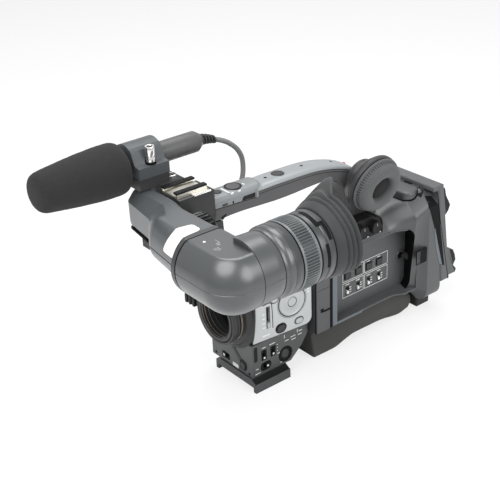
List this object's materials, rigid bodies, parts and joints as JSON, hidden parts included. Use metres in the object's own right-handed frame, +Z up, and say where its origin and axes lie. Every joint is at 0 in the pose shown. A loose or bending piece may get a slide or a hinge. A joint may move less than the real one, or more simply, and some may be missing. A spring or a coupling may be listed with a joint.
{
  "type": "camcorder",
  "caption": "Shoulder camcorder without its lens, with a side viewfinder, carrying handle, foam-covered microphone, control panels, shoulder pad and open screen bay.",
  "frame": {"origin": "on the tripod plate's bottom face, in the handle's centre plane, midway along the plate", "axes": "+Z up, -Y towards the lens mount's front, +X towards the operator's left side with the viewfinder"},
  "size_m": [0.2067, 0.4173, 0.2502],
  "materials": {
    "tripod_plate": "dark painted metal",
    "switch_block": "fine-textured dark grey plastic",
    "front_casing": "fine-textured dark grey plastic",
    "lens_mount": "bare metal",
    "sensor_block": "black",
    "control_panel": "silver paint",
    "casing_left": "fine-textured dark grey plastic",
    "casing_right": "fine-textured dark grey plastic",
    "circuit_board": "green board",
    "screen_bay": "fine-textured dark grey plastic",
    "shoulder_pad": "soft dark rubber",
    "rear_foot": "fine-textured dark grey plastic",
    "battery_plate": "fine-textured dark grey plastic",
    "handle_grip": "fine-textured dark grey plastic",
    "handle_top_cover": "silver-grey paint",
    "handle_front_block": "fine-textured dark grey plastic",
    "accessory_shoe": "bare metal",
    "mic_holder": "fine-textured dark grey plastic",
    "microphone": "grey paint",
    "windscreen": "open-cell charcoal foam",
    "mic_boot": "grey rubber",
    "mic_cord": "grey rubber",
    "audio_plug": "satin metal",
    "audio_input_box": "fine-textured dark grey plastic",
    "speaker_housing": "fine-textured dark grey plastic",
    "ear_pad": "soft dark rubber",
    "bayonet_ring": "dark plastic",
    "mic_clamp_cap": "satin grey paint",
    "clamp_thumbscrew": "bare metal",
    "viewfinder_arm": "satin grey paint",
    "tally_window": "translucent white",
    "viewfinder_elbow": "satin grey paint",
    "viewfinder_barrel": "satin grey paint",
    "eyepiece_collar": "satin grey paint",
    "eyecup": "soft dark rubber",
    "eyepiece_lens": "clear glass",
    "focus_ring": "satin grey paint",
    "viewfinder_lock_wheel": "dark plastic",
    "cursor_pad": "silver paint",
    "set_button": "silver paint",
    "round_button": "silver paint",
    "oval_button": "silver paint",
    "dark_button": "dark plastic",
    "filter_slider": "silver paint",
    "gain_switch": "white plastic",
    "white_balance_switch": "white plastic",
    "power_switch": "dark plastic",
    "record_trigger": "dark plastic",
    "front_switch": "dark plastic",
    "front_button": "dark plastic",
    "handle_record_button": "dark plastic",
    "handle_small_button": "dark plastic",
    "handle_round_button": "dark plastic",
    "bay_keypad": "dark plastic",
    "bay_switch_1": "white plastic",
    "bay_switch_2": "white plastic",
    "bay_switch_3": "white plastic",
    "bay_switch_4": "white plastic",
    "audio_knob_1": "dark plastic",
    "audio_knob_2": "dark plastic"
  },
  "bodies": {
    "camera_body": {"tripod_plate": "tripod_plate", "switch_block": "switch_block", "front_casing": "front_casing", "lens_mount": "lens_mount", "sensor_block": "sensor_block", "control_panel": "control_panel", "casing_left": "casing_left", "casing_right": "casing_right", "circuit_board": "circuit_board", "screen_bay": "screen_bay", "shoulder_pad": "shoulder_pad", "rear_foot": "rear_foot", "battery_plate": "battery_plate", "handle_grip": "handle_grip", "handle_top_cover": "handle_top_cover", "handle_front_block": "handle_front_block", "accessory_shoe": "accessory_shoe", "mic_holder": "mic_holder", "microphone": "microphone", "windscreen": "windscreen", "mic_boot": "mic_boot", "mic_cord": "mic_cord", "audio_plug": "audio_plug", "audio_input_box": "audio_input_box", "speaker_housing": "speaker_housing", "ear_pad": "ear_pad"},
    "mount_ring": {"bayonet_ring": "bayonet_ring"},
    "clamp": {"mic_clamp_cap": "mic_clamp_cap"},
    "clamp_screw": {"clamp_thumbscrew": "clamp_thumbscrew"},
    "viewfinder": {"viewfinder_arm": "viewfinder_arm", "tally_window": "tally_window"},
    "eyepiece": {"viewfinder_elbow": "viewfinder_elbow", "viewfinder_barrel": "viewfinder_barrel", "eyepiece_collar": "eyepiece_collar", "eyecup": "eyecup", "eyepiece_lens": "eyepiece_lens"},
    "focus": {"focus_ring": "focus_ring"},
    "lock": {"viewfinder_lock_wheel": "viewfinder_lock_wheel"},
    "cursor": {"cursor_pad": "cursor_pad"},
    "set_key": {"set_button": "set_button"},
    "round_key": {"round_button": "round_button"},
    "oval_key": {"oval_button": "oval_button"},
    "dark_key": {"dark_button": "dark_button"},
    "filter_knob": {"filter_slider": "filter_slider"},
    "gain_knob": {"gain_switch": "gain_switch"},
    "white_balance_knob": {"white_balance_switch": "white_balance_switch"},
    "power_knob": {"power_switch": "power_switch"},
    "trigger_key": {"record_trigger": "record_trigger"},
    "front_knob": {"front_switch": "front_switch"},
    "front_key": {"front_button": "front_button"},
    "handle_record_key": {"handle_record_button": "handle_record_button"},
    "handle_small_key": {"handle_small_button": "handle_small_button"},
    "handle_round_key": {"handle_round_button": "handle_round_button"},
    "bay_keys": {"bay_keypad": "bay_keypad"},
    "bay_knob_1": {"bay_switch_1": "bay_switch_1"},
    "bay_knob_2": {"bay_switch_2": "bay_switch_2"},
    "bay_knob_3": {"bay_switch_3": "bay_switch_3"},
    "bay_knob_4": {"bay_switch_4": "bay_switch_4"},
    "level_knob_1": {"audio_knob_1": "audio_knob_1"},
    "level_knob_2": {"audio_knob_2": "audio_knob_2"}
  },
  "joints": [
    {"name": "bayonet_ring_turn", "type": "hinge", "parent": "camera_body", "child": "mount_ring", "pos_m": [-0.01, -0.0268, 0.0715], "axis": [0, 1, 0], "range_deg": [0, 30]},
    {"name": "mic_clamp_open", "type": "hinge", "parent": "camera_body", "child": "clamp", "pos_m": [-0.0525, -0.0815, 0.2297], "axis": [0, -1, 0], "range_deg": [0, 100]},
    {"name": "clamp_screw_turn", "type": "hinge", "parent": "clamp", "child": "clamp_screw", "pos_m": [-0.0195, -0.0815, 0.2297], "axis": [0, 0, 1], "range_deg": [0, 720]},
    {"name": "viewfinder_slide", "type": "slide", "parent": "camera_body", "child": "viewfinder", "axis": [1, 0, 0], "range_m": [0, 0.02]},
    {"name": "viewfinder_tilt", "type": "hinge", "parent": "viewfinder", "child": "eyepiece", "pos_m": [0.078, -0.103, 0.187], "axis": [1, 0, 0], "range_deg": [-30, 100]},
    {"name": "focus_ring_turn", "type": "hinge", "parent": "eyepiece", "child": "focus", "pos_m": [0.112, -0.058, 0.187], "axis": [0, 1, 0], "range_deg": [-60, 60]},
    {"name": "lock_wheel_turn", "type": "hinge", "parent": "camera_body", "child": "lock", "pos_m": [0.0278, -0.0747, 0.183], "axis": [0, 1, 0], "range_deg": [0, 270]},
    {"name": "cursor_pad_press", "type": "slide", "parent": "camera_body", "child": "cursor", "axis": [-0.9963, 0.0854, 0], "range_m": [0, 0.0007], "stiffness_N_per_m": 400},
    {"name": "set_button_press", "type": "slide", "parent": "camera_body", "child": "set_key", "axis": [-0.9963, 0.0854, 0], "range_m": [0, 0.0007], "stiffness_N_per_m": 400},
    {"name": "round_button_press", "type": "slide", "parent": "camera_body", "child": "round_key", "axis": [-0.9963, 0.0854, 0], "range_m": [0, 0.0007], "stiffness_N_per_m": 400},
    {"name": "oval_button_press", "type": "slide", "parent": "camera_body", "child": "oval_key", "axis": [-0.9963, 0.0854, 0], "range_m": [0, 0.0007], "stiffness_N_per_m": 400},
    {"name": "dark_button_press", "type": "slide", "parent": "camera_body", "child": "dark_key", "axis": [-0.9963, 0.0854, 0], "range_m": [0, 0.0007], "stiffness_N_per_m": 400},
    {"name": "filter_slider_shift", "type": "slide", "parent": "camera_body", "child": "filter_knob", "axis": [0, 0, 1], "range_m": [0, 0.015]},
    {"name": "gain_shift", "type": "slide", "parent": "camera_body", "child": "gain_knob", "axis": [0, 0, 1], "range_m": [0, 0.0044]},
    {"name": "white_balance_shift", "type": "slide", "parent": "camera_body", "child": "white_balance_knob", "axis": [0, 0, 1], "range_m": [0, 0.0044]},
    {"name": "power_shift", "type": "slide", "parent": "camera_body", "child": "power_knob", "axis": [0, -1, 0], "range_m": [0, 0.0042]},
    {"name": "record_trigger_press", "type": "slide", "parent": "camera_body", "child": "trigger_key", "axis": [-1, 0, 0], "range_m": [0, 0.0018], "stiffness_N_per_m": 400},
    {"name": "front_switch_shift", "type": "slide", "parent": "camera_body", "child": "front_knob", "axis": [1, 0, 0], "range_m": [0, 0.0048]},
    {"name": "front_button_press", "type": "slide", "parent": "camera_body", "child": "front_key", "axis": [0, 1, 0], "range_m": [0, 0.0009], "stiffness_N_per_m": 400},
    {"name": "handle_record_press", "type": "slide", "parent": "camera_body", "child": "handle_record_key", "axis": [0, 0, -1], "range_m": [0, 0.0007], "stiffness_N_per_m": 400},
    {"name": "handle_small_press", "type": "slide", "parent": "camera_body", "child": "handle_small_key", "axis": [0, 0, -1], "range_m": [0, 0.0007], "stiffness_N_per_m": 400},
    {"name": "handle_round_press", "type": "slide", "parent": "camera_body", "child": "handle_round_key", "axis": [0, 0, -1], "range_m": [0, 0.0007], "stiffness_N_per_m": 400},
    {"name": "bay_keypad_press", "type": "slide", "parent": "camera_body", "child": "bay_keys", "axis": [-1, 0, 0], "range_m": [0, 0.0006], "stiffness_N_per_m": 400},
    {"name": "bay_switch_1_shift", "type": "slide", "parent": "camera_body", "child": "bay_knob_1", "axis": [0, 0, 1], "range_m": [0, 0.0036]},
    {"name": "bay_switch_2_shift", "type": "slide", "parent": "camera_body", "child": "bay_knob_2", "axis": [0, 0, 1], "range_m": [0, 0.0036]},
    {"name": "bay_switch_3_shift", "type": "slide", "parent": "camera_body", "child": "bay_knob_3", "axis": [0, 0, 1], "range_m": [0, 0.0036]},
    {"name": "bay_switch_4_shift", "type": "slide", "parent": "camera_body", "child": "bay_knob_4", "axis": [0, 0, 1], "range_m": [0, 0.0036]},
    {"name": "audio_knob_1_turn", "type": "hinge", "parent": "camera_body", "child": "level_knob_1", "pos_m": [0.0258, 0.11075, 0.12], "axis": [1, 0, 0], "range_deg": [-140, 140]},
    {"name": "audio_knob_2_turn", "type": "hinge", "parent": "camera_body", "child": "level_knob_2", "pos_m": [0.0258, 0.12725, 0.12], "axis": [1, 0, 0], "range_deg": [-140, 140]}
  ]
}
